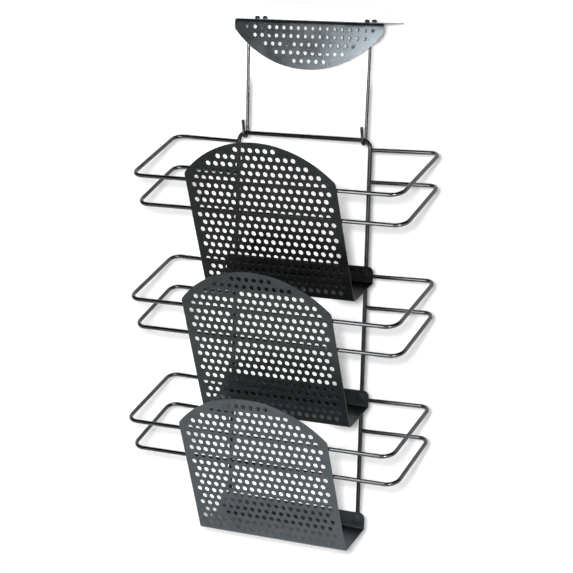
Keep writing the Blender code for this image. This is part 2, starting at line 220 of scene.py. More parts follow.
def punched_tree() -> bpy.types.NodeTree:
    """Build the tree that fills a flat outline and leaves staggered rows of round holes.

    Holes that come closer than a margin to the straight sides or to the arch are left out.

    Returns:
        The tree. Its geometry is the outline, with any slots, as closed loops in the XY plane.
    """
    sizes = (
        "Hole Diameter", "Hole Pitch", "Row Pitch", "First Row", "First Shift", "In Line", "Across",
        "Half Width", "Side Margin", "Arch Centre", "Arch Radius", "Arch Margin")
    counts = ("Rows", "Columns", "Hole Sides")
    tree, start = start_tree("punched_flat", {
        **{name: "NodeSocketFloat" for name in sizes},
        **{name: "NodeSocketInt" for name in counts}})
    known = {name: start.outputs[name] for name in sizes + counts}
    known["Index"] = add_node(tree, "GeometryNodeInputIndex").outputs[0]
    steps = (
        ("Count", "MULTIPLY", "Rows", "Columns"),
        ("Row Share", "DIVIDE", "Index", "Columns"),
        ("Row", "FLOOR", "Row Share", 0.0),
        ("Column", "MODULO", "Index", "Columns"),
        ("Last Column", "SUBTRACT", "Columns", 1.0),
        ("Middle", "DIVIDE", "Last Column", 2.0),
        ("From Middle", "SUBTRACT", "Column", "Middle"),
        ("Staggered Row", "MAXIMUM", "Row", "In Line"),
        ("Shifted Row", "ADD", "Staggered Row", "First Shift"),
        ("Odd", "MODULO", "Shifted Row", 2.0),
        ("Shift", "DIVIDE", "Odd", 2.0),
        ("Places", "ADD", "From Middle", "Shift"),
        ("Off Middle", "MULTIPLY", "Places", "Hole Pitch"),
        ("X", "ADD", "Off Middle", "Across"),
        ("Down", "MULTIPLY", "Row", "Row Pitch"),
        ("Y", "ADD", "First Row", "Down"),
        ("Reach", "ABSOLUTE", "Off Middle", 0.0),
        ("Side Limit", "SUBTRACT", "Half Width", "Side Margin"),
        ("In Sides", "LESS_THAN", "Reach", "Side Limit"),
        ("X Square", "MULTIPLY", "Off Middle", "Off Middle"),
        ("Rise", "SUBTRACT", "Y", "Arch Centre"),
        ("Rise Square", "MULTIPLY", "Rise", "Rise"),
        ("Distance Square", "ADD", "X Square", "Rise Square"),
        ("Distance", "SQRT", "Distance Square", 0.0),
        ("Arch Limit", "SUBTRACT", "Arch Radius", "Arch Margin"),
        ("In Arch", "LESS_THAN", "Distance", "Arch Limit"),
        ("Inside", "MULTIPLY", "In Sides", "In Arch"),
        ("Hole Radius", "DIVIDE", "Hole Diameter", 2.0),
    )
    for name, operation, *values in steps:
        pair = {i: known.get(value, value) for i, value in enumerate(values)}
        known[name] = add_node(tree, "ShaderNodeMath", pair, operation=operation).outputs[0]
    place = add_node(tree, "ShaderNodeCombineXYZ", {"X": known["X"], "Y": known["Y"]})
    points = add_node(
        tree, "GeometryNodePoints", {"Count": known["Count"], "Position": place.outputs[0]})
    hole = add_node(
        tree, "GeometryNodeCurvePrimitiveCircle",
        {"Resolution": known["Hole Sides"], "Radius": known["Hole Radius"]}, mode="RADIUS")
    kept = add_node(tree, "GeometryNodeCaptureAttribute", {"Geometry": points.outputs[0]})
    kept.capture_items.new("FLOAT", "Inside")
    tree.links.new(known["Inside"], kept.inputs["Inside"])
    holes = add_node(
        tree, "GeometryNodeInstanceOnPoints",
        {"Points": kept.outputs["Geometry"], "Selection": kept.outputs["Inside"],
         "Instance": hole.outputs[0]})
    real = add_node(tree, "GeometryNodeRealizeInstances", {"Geometry": holes.outputs[0]})
    outline = add_node(tree, "GeometryNodeMeshToCurve", {"Mesh": start.outputs["Geometry"]})
    loops = add_node(
        tree, "GeometryNodeJoinGeometry", {"Geometry": [outline.outputs[0], real.outputs[0]]})
    flat = add_node(tree, "GeometryNodeFillCurve", {"Curve": loops.outputs[0]}, mode="TRIANGLES")
    return end_tree(tree, start, flat.outputs[0])


def copies_tree() -> bpy.types.NodeTree:
    """Build the tree that sets a copy of one shape on each point.

    Returns:
        The tree. Its geometry is the points, whose attributes turn and size place each copy.
    """
    tree, start = start_tree("placed_copies", {"Shape": "NodeSocketObject"})
    shape = add_node(
        tree, "GeometryNodeObjectInfo",
        {"Object": start.outputs["Shape"], "As Instance": True}, transform_space="ORIGINAL")
    turn, size = [
        add_node(
            tree, "GeometryNodeInputNamedAttribute", {"Name": name}, data_type="FLOAT_VECTOR")
        for name in ("turn", "size")
    ]
    copies = add_node(
        tree, "GeometryNodeInstanceOnPoints",
        {"Points": start.outputs["Geometry"], "Instance": shape.outputs["Geometry"],
         "Rotation": turn.outputs[0], "Scale": size.outputs[0]})
    return end_tree(tree, start, copies.outputs[0])


def add_object(name: str, mesh: bpy.types.Mesh) -> bpy.types.Object:
    """Add an object at the origin that shows a mesh."""
    thing = bpy.data.objects.new(name, mesh)
    bpy.context.scene.collection.objects.link(thing)
    return thing


def object_from(name: str, bm: bmesh.types.BMesh) -> bpy.types.Object:
    """Add an object at the origin that shows a bmesh, and free the bmesh."""
    mesh = bpy.data.meshes.new(name)
    bm.to_mesh(mesh)
    bm.free()
    return add_object(name, mesh)


def join_corners(bm: bmesh.types.BMesh) -> None:
    """Join the corners of a bmesh that meet, and turn its faces outward."""
    bmesh.ops.remove_doubles(bm, verts=bm.verts, dist=MERGE_DISTANCE)
    bmesh.ops.recalc_face_normals(bm, faces=bm.faces)


def keep_result(thing: bpy.types.Object, modifier: bpy.types.Modifier) -> None:
    """Make what a modifier gives an object its plain mesh, and remove the modifier."""
    shown = thing.evaluated_get(bpy.context.evaluated_depsgraph_get())
    mesh = bpy.data.meshes.new_from_object(shown)
    thing.modifiers.remove(modifier)
    thing.data = mesh


def grow(
    thing: bpy.types.Object, tree: bpy.types.NodeTree, values: dict[str, object]
) -> bpy.types.Object:
    """Run a Geometry Nodes tree on an object and keep the result as its plain mesh.

    Args:
        thing: Object whose mesh goes in and is replaced.
        tree: Tree to run.
        values: Value of each input, by its name.

    Returns:
        The same object, without the modifier.
    """
    modifier = thing.modifiers.new(tree.name, "NODES")
    modifier.node_group = tree
    for item in tree.interface.items_tree:
        if item.in_out == "INPUT" and item.name in values:
            modifier[item.identifier] = values[item.name]
    keep_result(thing, modifier)
    return thing


def arc(
    x: float, t: float, radius: float, start: float, end: float, steps: int
) -> list[tuple[float, float]]:
    """Find points along an arc in a flat.

    Args:
        x: Middle of the arc, across.
        t: Middle of the arc, along.
        radius: Radius of the arc.
        start: First angle from the x direction.
        end: Last angle.
        steps: Number of steps from first to last point.

    Returns:
        The points, first and last ones too.
    """
    angles = [start + (end - start) * step / steps for step in range(steps + 1)]
    return [(x + radius * math.cos(a), t + radius * math.sin(a)) for a in angles]


def rounded_tab(
    width: float, foot: float, end: float, radius: float
) -> list[tuple[float, float]]:
    """Draw a flat whose two far corners are rounded.

    Args:
        width: Width of the flat.
        foot: Place of its foot line.
        end: Place of its far edge.
        radius: Radius of the far corners.

    Returns:
        The outline's points, once round.
    """
    half = width / 2
    inner, level = half - radius, end - radius
    right = arc(inner, level, radius, 0, math.pi / 2, CORNER_STEPS)
    left = arc(-inner, level, radius, math.pi / 2, math.pi, CORNER_STEPS)
    return [(-half, foot), (half, foot)] + right + left


def rounded_corner(
    before: Vector, corner: Vector, after: Vector, radius: float, steps: int
) -> list[Vector]:
    """Find points of the arc that rounds a corner.

    Args:
        before: A point on the way to the corner.
        corner: The corner.
        after: A point on the way from it.
        radius: Radius of the arc.
        steps: Number of steps along the arc.

    Returns:
        The points, from one tangent point to the other.
    """
    start = (before - corner).normalized()
    end = (after - corner).normalized()
    half = start.angle(end) / 2
    middle = corner + (start + end).normalized() * (radius / math.sin(half))
    first = corner + start * (radius / math.tan(half)) - middle
    last = corner + end * (radius / math.tan(half)) - middle
    arms = [first.slerp(last, step / steps).normalized() for step in range(steps + 1)]
    return [middle + arm * radius for arm in arms]


def vector_attribute(mesh: bpy.types.Mesh, name: str, values: list[Vector]) -> None:
    """Store one vector for each point of a mesh."""
    attribute = mesh.attributes.new(name, "FLOAT_VECTOR", "POINT")
    attribute.data.foreach_set("vector", [part for value in values for part in value])


@dataclass(frozen=True)
class Finish:
    """A metal finish, whose pattern has real sizes and lies in Object coordinates."""

    name: str
    colour: str
    roughness: float
    metallic: float = 1.0

    def material(self) -> bpy.types.Material:
        """Build the finish's material.

        Returns:
            A material that reads Object coordinates only.
        """
        material = bpy.data.materials.new(self.name)
        material.use_nodes = True
        tree = material.node_tree
        shader = tree.nodes["Principled BSDF"]
        shader.inputs["Metallic"].default_value = self.metallic
        place = add_node(tree, "ShaderNodeTexCoord").outputs["Object"]
        for socket, source in self.pattern(tree, place).items():
            tree.links.new(source, shader.inputs[socket])
        return material

    def pattern(
        self, tree: bpy.types.NodeTree, place: bpy.types.NodeSocket
    ) -> dict[str, bpy.types.NodeSocket]:
        """Draw the finish's colour, roughness and relief.

        Args:
            tree: Tree that gets the nodes.
            place: Socket with the Object coordinates.

        Returns:
            What each input of the shader gets, by the input's name.
        """
        raise NotImplementedError


@dataclass(frozen=True)
class PowderCoat(Finish):
    """Metallic powder coat: sprayed dry on punched steel and baked, with fine aluminium flake.

    To the eye it is a satin dark grey with a faint sparkle and the soft waves of orange peel, and
    it is slightly cloudy where the powder lay thicker.
    """

    roughness: float = 0.42
    metallic: float = 0.95
    peel_width: float = 0.0016
    peel_height: float = 0.000035
    flake_width: float = 0.0007
    flake_contrast: float = 0.10
    cloud_width: float = 0.028
    cloud_contrast: float = 0.07
    cloud_roughness: float = 0.05

    def pattern(
        self, tree: bpy.types.NodeTree, place: bpy.types.NodeSocket
    ) -> dict[str, bpy.types.NodeSocket]:
        """Draw flake, clouds and orange peel.

        Args:
            tree: Tree that gets the nodes.
            place: Socket with the Object coordinates.

        Returns:
            What each input of the shader gets, by the input's name.
        """
        # Real flake is about 0.05 mm, too fine to show, so it is drawn as coarse as it can be seen
        flake, cloud, peel = [
            add_node(
                tree, "ShaderNodeTexNoise",
                {"Vector": place, "Scale": 1 / width, "Detail": detail})
            for width, detail in (
                (self.flake_width, 1.0), (self.cloud_width, 3.0), (self.peel_width, 2.0))
        ]
        sparkle, tone, satin = [
            add_node(
                tree, "ShaderNodeMapRange",
                {"Value": noise.outputs["Fac"], "From Min": NOISE_LOW, "From Max": NOISE_HIGH,
                 "To Min": middle - swing, "To Max": middle + swing})
            for noise, middle, swing in (
                (flake, 1.0, self.flake_contrast), (cloud, 1.0, self.cloud_contrast),
                (cloud, self.roughness, self.cloud_roughness))
        ]
        both = add_node(
            tree, "ShaderNodeMath", {0: sparkle.outputs[0], 1: tone.outputs[0]},
            operation="MULTIPLY")
        colour = add_node(
            tree, "ShaderNodeMix",
            {MIX_FACTOR: 1.0, MIX_FIRST: linear(self.colour), MIX_SECOND: both.outputs[0]},
            data_type="RGBA", blend_type="MULTIPLY")
        bump = add_node(
            tree, "ShaderNodeBump",
            {"Height": peel.outputs["Fac"], "Distance": self.peel_height, "Strength": 1.0})
        return {
            "Base Color": colour.outputs[MIX_RESULT], "Roughness": satin.outputs[0],
            "Normal": bump.outputs[0]}


@dataclass(frozen=True)
class WireCoat(PowderCoat):
    """Smooth metallic coat on drawn wire, glossier than on the sheets.

    To the eye it is gunmetal with a narrow bright line along the wire, broken a little by the
    orange peel and by the faint waves that straightening leaves in the wire.
    """

    roughness: float = 0.24
    metallic: float = 1.0
    peel_width: float = 0.0022
    peel_height: float = 0.00003
    cloud_width: float = 0.016
    cloud_contrast: float = 0.12


@dataclass(frozen=True)
class BlackZinc(Finish):
    """Black zinc plate on a cold-headed steel screw.

    To the eye it is nearly black and half glossy, with a brownish grey cast and fine grain.
    """

    colour: str = "242425"
    roughness: float = 0.32
    worn_colour: str = "4b4a48"
    worn_start: float = 0.5
    worn_end: float = 0.8
    gloss_swing: float = 0.08
    matt_swing: float = 0.12
    grain_width: float = 0.0008
    grain_height: float = 0.00002

    def pattern(
        self, tree: bpy.types.NodeTree, place: bpy.types.NodeSocket
    ) -> dict[str, bpy.types.NodeSocket]:
        """Draw the grain and the worn spots.

        Args:
            tree: Tree that gets the nodes.
            place: Socket with the Object coordinates.

        Returns:
            What each input of the shader gets, by the input's name.
        """
        grain = add_node(
            tree, "ShaderNodeTexNoise",
            {"Vector": place, "Scale": 1 / self.grain_width, "Detail": 4.0})
        worn = add_node(
            tree, "ShaderNodeMapRange",
            {"Value": grain.outputs["Fac"], "From Min": self.worn_start,
             "From Max": self.worn_end})
        colour = add_node(
            tree, "ShaderNodeMix",
            {MIX_FACTOR: worn.outputs[0], MIX_FIRST: linear(self.colour),
             MIX_SECOND: linear(self.worn_colour)}, data_type="RGBA")
        satin = add_node(
            tree, "ShaderNodeMapRange",
            {"Value": grain.outputs["Fac"], "To Min": self.roughness - self.gloss_swing,
             "To Max": self.roughness + self.matt_swing})
        bump = add_node(
            tree, "ShaderNodeBump",
            {"Height": grain.outputs["Fac"], "Distance": self.grain_height, "Strength": 1.0})
        return {
            "Base Color": colour.outputs[MIX_RESULT], "Roughness": satin.outputs[0],
            "Normal": bump.outputs[0]}


@dataclass(frozen=True)
class Arch:
    """A flat with straight sides and a round arch on top, drawn up from its foot at t = 0."""

    width: float
    side_height: float
    height: float
    shoulder_radius: float
    arch_steps: int = 72
    corner_steps: int = CORNER_STEPS

    @property
    def half_width(self) -> float:
        """Half of the width."""
        return self.width / 2

    @property
    def radius(self) -> float:
        """Radius of the arch, through both shoulders and the top."""
        rise = self.height - self.side_height
        return (self.half_width ** 2 + rise ** 2) / (2 * rise)

    @property
    def centre(self) -> float:
        """Place of the arch's middle, along the flat."""
        return self.height - self.radius

    def outline(self, foot: float) -> list[tuple[float, float]]:
        """Draw the outline from the foot line up, with rounded shoulders.

        Args:
            foot: Place of the foot line.

        Returns:
            The outline's points, once round.
        """
        across = self.half_width - self.shoulder_radius
        up = math.sqrt((self.radius - self.shoulder_radius) ** 2 - across ** 2)
        lean = math.atan2(up, across)
        shoulder = self.centre + up
        right = arc(across, shoulder, self.shoulder_radius, 0, lean, self.corner_steps)
        top = arc(0, self.centre, self.radius, lean, math.pi - lean, self.arch_steps)
        left = arc(
            -across, shoulder, self.shoulder_radius, math.pi - lean, math.pi, self.corner_steps)
        return [(-self.half_width, foot), (self.half_width, foot)] + right + top[1:-1] + left


@dataclass(frozen=True)
class Perforation:
    """Staggered rows of round holes, as the punch leaves them, in one flat.

    Every other row is shifted by half a pitch, counted from first_shift on. The rows up to number
    in_line stand in line, and across moves all rows sideways.
    """

    first_row: float
    rows: int
    first_shift: int
    side_margin: float
    arch_margin: float
    row_pitch: float
    hole_pitch: float = 0.00877
    hole_diameter: float = 0.0053
    in_line: int = 0
    across: float = 0.0
    columns: int = 25
    hole_sides: int = 16

    def inputs(self, arch: Arch) -> dict[str, object]:
        """Give the inputs of the punched tree.

        Args:
            arch: Flat that the holes are punched in.

        Returns:
            The value of each input, by its name.
        """
        return {
            "Hole Diameter": self.hole_diameter, "Hole Pitch": self.hole_pitch,
            "Row Pitch": self.row_pitch, "First Row": self.first_row,
            "First Shift": float(self.first_shift), "In Line": float(self.in_line),
            "Across": self.across,
            "Half Width": arch.half_width,
            "Side Margin": self.side_margin, "Arch Centre": arch.centre,
            "Arch Radius": arch.radius, "Arch Margin": self.arch_margin,
            "Rows": self.rows, "Columns": self.columns, "Hole Sides": self.hole_sides,
        }


# Perforation of a flat that has none
PLAIN = {"Rows": 0, "Columns": 1, "Hole Sides": 3, "Hole Diameter": 0.001}


class Workshop:
    """Geometry Nodes trees, made once, and the ways of working that all sub-assemblies share."""

    def __init__(self) -> None:
        """Build the trees."""
        self.wire = wire_tree()
        self.punched = punched_tree()
        self.copies = copies_tree()

    def bend_wire(
        self, name: str, corners: list[Vector], radii: list[float], diameter: float,
        finish: bpy.types.Material,
    ) -> bpy.types.Object:
        """Bend a round wire with softly broken ends.

        Args:
            name: Name of the piece.
            corners: Ends and corners of the wire's middle line.
            radii: Bend radius of each inner corner.
            diameter: Diameter of the wire.
            finish: Material of the wire.

        Returns:
            The piece.
        """
        mesh = bpy.data.meshes.new(name)
        mesh.from_pydata(corners, [(i, i + 1) for i in range(len(corners) - 1)], [])
        bend = mesh.attributes.new("bend_radius", "FLOAT", "POINT")
        bend.data.foreach_set("value", [0.0, *radii, 0.0])
        piece = grow(add_object(name, mesh), self.wire, {
            "Diameter": diameter, "Bend Steps": WIRE_BEND_STEPS, "Sides": WIRE_SIDES,
            "Finish": finish})
        self.smooth(piece.data)
        self.break_edges(piece, diameter * WIRE_END_SHARE, segments=2)
        return piece

    def cut_flat(
        self, outlines: list[list[tuple[float, float]]], holes: dict[str, object]
    ) -> bpy.types.Mesh:
        """Cut a flat with its slots and punch its holes.

        Args:
            outlines: The outline and any slots, in the XY plane.
            holes: Inputs of the punched tree.

        Returns:
            The flat's mesh, in the XY plane.
        """
        points, edges = [], []
        for loop in outlines:
            first = len(points)
            points += [(x, t, 0) for x, t in loop]
            edges += [(first + i, first + (i + 1) % len(loop)) for i in range(len(loop))]
        mesh = bpy.data.meshes.new("flat")
        mesh.from_pydata(points, edges, [])
        blank = grow(add_object("flat", mesh), self.punched, holes)
        flat = blank.data
        bpy.data.objects.remove(blank)
        return flat

    def place_copies(
        self, name: str, shape: bpy.types.Object, places: list[tuple[Vector, Vector, Vector]],
        finish: bpy.types.Material,
    ) -> bpy.types.Object:
        """Set copies of one shape at their places, and remove the shape.

        Args:
            name: Name of the piece.
            shape: Object that is copied.
            places: Place, turn and size of each copy.
            finish: Material of the copies.

        Returns:
            The piece, with all copies in one mesh.
        """
        mesh = bpy.data.meshes.new(name)
        mesh.from_pydata([place for place, _, _ in places], [], [])
        vector_attribute(mesh, "turn", [turn for _, turn, _ in places])
        vector_attribute(mesh, "size", [size for _, _, size in places])
        piece = grow(add_object(name, mesh), self.copies, {"Shape": shape, "Finish": finish})
        bpy.data.objects.remove(shape)
        self.smooth(piece.data)
        return piece

    @staticmethod
    def smooth(mesh: bpy.types.Mesh) -> None:
        """Shade a mesh smooth but for its sharp edges."""
        mesh.shade_smooth()
        mesh.set_sharp_from_angle(angle=SHARP_ANGLE)

    @staticmethod
    def break_edges(piece: bpy.types.Object, width: float, segments: int) -> None:
        """Round the sharp edges of a piece a little, as coated metal has them.

        Args:
            piece: Piece that gets the modifier.
            width: Width of the rounding.
            segments: Number of faces across it.
        """
        bevel = piece.modifiers.new("broken_edges", "BEVEL")
        bevel.width = width
        bevel.segments = segments
        bevel.limit_method = "ANGLE"
        bevel.angle_limit = BROKEN_ANGLE
        bevel.use_clamp_overlap = False
        bevel.harden_normals = True


class FoldedSheet:
    """A sheet that is laid out as flats and bends of its middle surface and then made thick."""

    def __init__(self, shop: Workshop) -> None:
        """Start an empty sheet."""
        self.shop = shop
        self.bm = bmesh.new()

    def flat(
        self, outlines: list[list[tuple[float, float]]], holes: dict[str, object],
        origin: Vector, along: Vector,
    ) -> None:
        """Add a flat that is drawn across X and along a direction.

        Args:
            outlines: The outline and any slots.
            holes: Inputs of the punched tree.
            origin: Place of the flat's zero.
            along: Direction that the flat's t runs in.
        """
        mesh = self.shop.cut_flat(outlines, holes)
        turn = Matrix((RIGHT, along, RIGHT.cross(along))).transposed().to_4x4()
        mesh.transform(Matrix.Translation(origin) @ turn)
        self.bm.from_mesh(mesh)
        bpy.data.meshes.remove(mesh)

    def bend(self, width: float, points: list[Vector]) -> None:
        """Add a bend or a plain strip of full width.

        Args:
            width: Width of the strip.
            points: Its side view.
        """
        left, right = [
            [self.bm.verts.new(point + RIGHT * side) for point in points]
            for side in (-width / 2, width / 2)
        ]
        for i in range(len(points) - 1):
            self.bm.faces.new((left[i], right[i], right[i + 1], left[i + 1]))

    def piece(
        self, name: str, thickness: float, finish: bpy.types.Material, edge: float = 0.00018
    ) -> bpy.types.Object:
        """Join the flats and bends to one sheet and give it its thickness and broken edges.

        Args:
            name: Name of the piece.
            thickness: Thickness of the sheet.
            finish: Material of the sheet.
            edge: Width of the rounding of all its edges.

        Returns:
            The piece.
        """
        join_corners(self.bm)
        piece = object_from(name, self.bm)
        piece.data.materials.clear()
        piece.data.materials.append(finish)
        piece.data.polygons.foreach_set("material_index", [0] * len(piece.data.polygons))
        solidify = piece.modifiers.new("thickness", "SOLIDIFY")
        solidify.thickness = thickness
        solidify.offset = 0
        solidify.use_even_offset = True
        solidify.use_quality_normals = True
        keep_result(piece, solidify)
        self.shop.smooth(piece.data)
        self.shop.break_edges(piece, edge, segments=1)
        return piece


def dress(piece: bpy.types.Object, body: str, slot: str, *nodes: str) -> None:
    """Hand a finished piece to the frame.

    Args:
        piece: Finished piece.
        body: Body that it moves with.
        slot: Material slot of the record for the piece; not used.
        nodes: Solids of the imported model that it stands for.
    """
    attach(piece, body)
    if nodes:
        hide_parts(*nodes)
    LOG.info("%s rides on %s and stands for %s", piece.name, body, ", ".join(nodes) or "no node")


def weld_bead(name: str) -> bpy.types.Object:
    """Make a round bead of radius 1, which each place squashes to its own size."""
    bm = bmesh.new()
    bmesh.ops.create_uvsphere(bm, u_segments=BEAD_SIDES, v_segments=BEAD_RINGS, radius=1)
    return object_from(name, bm)


@dataclass
class Saddle:
    """Angle on top of the partition with a half-moon skirt behind it, and its four screws."""

    # Folded sheet
    thickness: float = 0.0012
    width: float = 0.148
    bend_radius: float = 0.0026
    skirt_side_height: float = 0.0065
    skirt_height: float = 0.033
    shoulder_radius: float = 0.004
    # Holes for the screws, and rows of punched holes in the skirt
    screw_hole_diameter: float = 0.0036
    rows: int = 3
    first_row: float = 0.0068
    row_pitch: float = 0.00865
    hole_pitch: float = 0.0087
    punch_diameter: float = 0.0044
    holes_across: float = -0.0014
    side_margin: float = 0.008
    arch_margin: float = 0.0034
    # Screws
    shank_diameter: float = 0.003
    shank_chamfer: float = 0.0003
    head_diameter: float = 0.0055
    head_height: float = 0.0031
    head_edge: float = 0.0012
    head_rounding: float = 0.0002
    # Cross recess, which narrows to its foot, and how far each screw is turned
    recess_width: float = 0.0009
    recess_length: float = 0.0030
    recess_depth: float = 0.0011
    recess_foot_share: float = 0.45
    first_screw_turn: float = 0.6
    screw_turn_step: float = 1.3
    # Finishes
    coat: PowderCoat = PowderCoat("satin_grey_powder_coat_on_saddle", "8a8d92")
    plating: BlackZinc = BlackZinc("black_zinc_plated_steel")

    def build(self, shop: Workshop) -> None:
        """Build and dress the saddle's sheet and its screws.

        Args:
            shop: Workshop with the trees.
        """
        low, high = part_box("rear_saddle")
        names = [
            f"clamp_screw_{side.name.lower()}_{row}" for side in Side for row in ("front", "rear")]
        screws = {name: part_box(name) for name in names}
        middles = [(lo + hi) / 2 for lo, hi in screws.values()]
        self.sheet(shop, low, high, middles)
        self.screws(shop, screws, middles)

    def sheet(self, shop: Workshop, low: Vector, high: Vector, middles: list[Vector]) -> None:
        """Fold the saddle's sheet and dress it.

        Args:
            shop: Workshop with the trees.
            low: Lowest corner of the solid that it stands for.
            high: Its highest corner.
            middles: Middle of each screw.
        """
        top = Vector((0, high.y - self.thickness / 2, self.thickness / 2))
        bend = rounded_corner(top - BACK, top, top - UP, self.bend_radius, CORNER_STEPS)
        skirt = Arch(self.width, self.skirt_side_height, self.skirt_height, self.shoulder_radius)
        foot = (top - bend[-1]).length
        half = self.width / 2
        leg = [(-half, low.y), (half, low.y), (half, bend[0].y), (-half, bend[0].y)]
        radius = self.screw_hole_diameter / 2
        holes = [
            arc(place.x, place.y, radius, 0, 2 * math.pi, 2 * HALF_HOLE_STEPS)[:-1]
            for place in middles
        ]
        punched = Perforation(
            first_row=self.first_row, rows=self.rows, first_shift=1, in_line=1,
            side_margin=self.side_margin, arch_margin=self.arch_margin, row_pitch=self.row_pitch,
            hole_pitch=self.hole_pitch, hole_diameter=self.punch_diameter,
            across=self.holes_across)
        sheet = FoldedSheet(shop)
        sheet.flat([leg, *holes], PLAIN, UP * top.z, BACK)
        sheet.bend(self.width, bend)
        sheet.flat([skirt.outline(foot)], punched.inputs(skirt), top, -UP)
        piece = sheet.piece("saddle_sheet", self.thickness, self.coat.material())
        dress(piece, "saddle", "saddle_sheet", "rear_saddle")

    def screws(
        self, shop: Workshop, screws: dict[str, tuple[Vector, Vector]], middles: list[Vector]
    ) -> None:
        """Turn one screw, cut its cross recess and set it at its four places.

        Args:
            shop: Workshop with the trees.
            screws: Lowest and highest corner of each screw's solid, by its node's name.
            middles: Middle of each screw.
        """
        low, high = next(iter(screws.values()))
        head = self.head_diameter / 2
        shank = self.shank_diameter / 2
        chamfer = self.shank_chamfer
        rounding = self.head_rounding
        head_foot = high.z - self.head_height
        edge = head_foot + self.head_edge
        dome = high.z - edge
        profile = [(0, low.z), (shank - chamfer, low.z), (shank, low.z + chamfer)]
        profile += [(shank, head_foot), (head - rounding, head_foot), (head, head_foot + rounding)]
        profile += [
            (x * head, edge + t * dome) for x, t in arc(0, 0, 1, 0, math.pi / 2, CORNER_STEPS)[:-1]]
        profile.append((0, high.z))
        bm = bmesh.new()
        verts = [bm.verts.new((r, 0, z)) for r, z in profile]
        edges = [bm.edges.new(pair) for pair in zip(verts, verts[1:])]
        bmesh.ops.spin(
            bm, geom=verts + edges, cent=(0, 0, 0), axis=UP, angle=2 * math.pi,
            steps=SCREW_SIDES, use_merge=True)
        join_corners(bm)
        screw = object_from("screw", bm)
        self.cut_recess(screw, high.z)
        places = [
            (Vector((place.x, place.y, 0)),
             UP * (self.first_screw_turn + self.screw_turn_step * i), Vector((1, 1, 1)))
            for i, place in enumerate(middles)
        ]
        piece = shop.place_copies("clamp_screws", screw, places, self.plating.material())
        dress(piece, "saddle", "screw_steel", *screws)

    def cut_recess(self, screw: bpy.types.Object, top: float) -> None:
        """Cut a cross recess into a screw's head.

        Args:
            screw: Screw on the Z axis.
            top: Height of the head's top.
        """
        bm = bmesh.new()
        for turn in (0, math.pi / 2):
            bar = bmesh.ops.create_cube(bm, size=1)["verts"]
            bmesh.ops.scale(
                bm, verts=bar, vec=(self.recess_length, self.recess_width, 2 * self.recess_depth))
            for vert in bar:
                if vert.co.z < 0:
                    vert.co.x *= self.recess_foot_share
            bmesh.ops.rotate(bm, verts=bar, matrix=Matrix.Rotation(turn, 3, "Z"))
            bmesh.ops.translate(bm, verts=bar, vec=UP * top)
        cutter = object_from("recess", bm)
        cut = screw.modifiers.new("recess", "BOOLEAN")
        cut.operation = "DIFFERENCE"
        cut.use_self = True
        cut.object = cutter
        keep_result(screw, cut)
        bpy.data.objects.remove(cutter)


